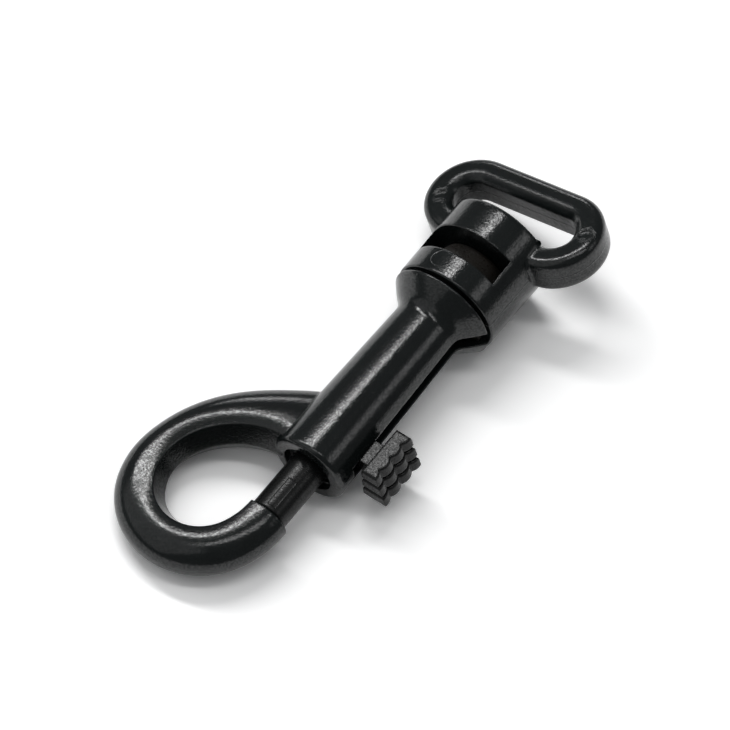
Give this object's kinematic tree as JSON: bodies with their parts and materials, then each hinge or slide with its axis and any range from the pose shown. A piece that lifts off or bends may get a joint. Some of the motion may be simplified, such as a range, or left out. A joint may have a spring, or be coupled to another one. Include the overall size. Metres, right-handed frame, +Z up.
{
  "type": "strap hook",
  "caption": "Moulded snap hook with a spring bolt worked by a thumb pad, and a swivelling eye for a flat strap.",
  "frame": {"origin": "middle of the strap slot, on the swivel axis", "axes": "+X along the barrel from the hook to the strap eye, +Y towards the side the hook loop bulges to, +Z up out of the flat plane that the hook lies in; the thumb pad and the barrel's slot are on the -Y side"},
  "size_m": [0.0987, 0.0449, 0.0202],
  "materials": {
    "black_moulding": "semi-gloss moulded nylon",
    "spring_steel": "bright drawn wire"
  },
  "bodies": {
    "hook": {"hook_body": "black_moulding", "swivel_stud": "black_moulding", "spring": "spring_steel"},
    "bolt": {"bolt": "black_moulding"},
    "swivel": {"swivel_eye": "black_moulding"}
  },
  "joints": [
    {"name": "bolt_slide", "type": "slide", "parent": "hook", "child": "bolt", "axis": [1, 0, 0], "range_m": [0, 0.012], "stiffness_N_per_m": 300, "springref_m": -0.006, "deforming": ["spring"]},
    {"name": "swivel_turn", "type": "hinge", "parent": "hook", "child": "swivel", "pos_m": [0, 0, 0], "axis": [1, 0, 0], "continuous": true}
  ]
}
